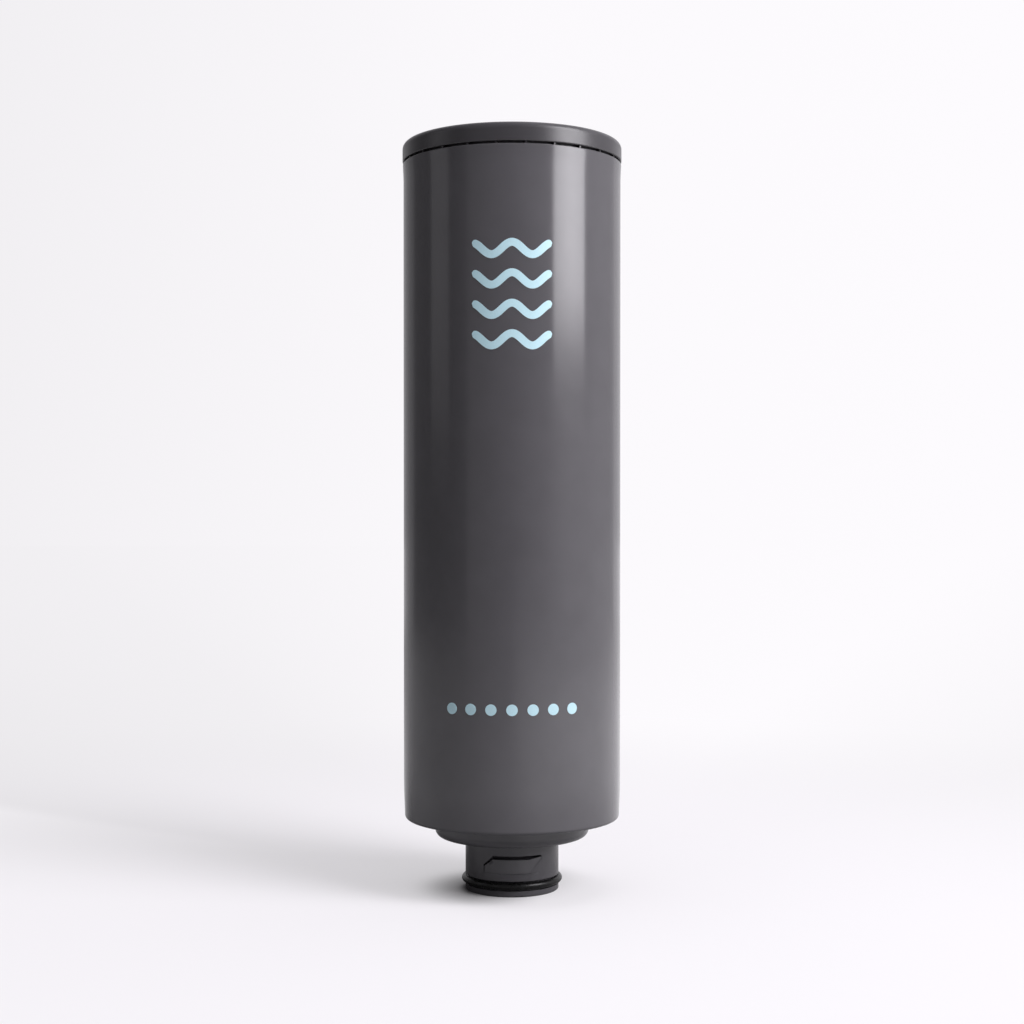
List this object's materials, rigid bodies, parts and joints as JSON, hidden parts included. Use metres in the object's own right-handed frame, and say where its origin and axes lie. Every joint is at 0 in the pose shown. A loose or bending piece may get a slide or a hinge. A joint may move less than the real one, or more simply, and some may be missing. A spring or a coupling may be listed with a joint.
{
  "type": "countertop water filter cartridge",
  "caption": "Tall welded cylindrical filter cartridge with a bayonet neck, a neck seal and a wrapped carbon block inside; it plugs neck-down into a countertop water filter.",
  "frame": {"origin": "on the long axis, at the foot of the neck", "axes": "+Z along the long axis from the neck to the cap; the front bayonet pocket faces -Y"},
  "size_m": [0.0768, 0.0768, 0.2604],
  "materials": {
    "charcoal_plastic": "glossy moulded charcoal plastic",
    "charcoal_cap": "satin moulded charcoal plastic",
    "black_rubber": "smooth moulded seal rubber",
    "white_plastic": "natural moulded polypropylene",
    "pressed_carbon": "pressed carbon grains",
    "nonwoven": "bonded nonwoven fibre",
    "net_plastic": "extruded plastic net",
    "porous_plastic": "sintered porous plastic",
    "pale_print": "pale blue pad print"
  },
  "bodies": {
    "root": {"housing": "charcoal_plastic", "top_cap": "charcoal_cap", "neck_o_ring": "black_rubber", "lower_end_cap": "white_plastic", "upper_end_cap": "white_plastic", "carbon_block": "pressed_carbon", "prefilter_wrap": "nonwoven", "outer_net": "net_plastic", "outlet_screen": "porous_plastic", "spigot_o_ring_1": "black_rubber", "spigot_o_ring_2": "black_rubber"}
  },
  "joints": []
}
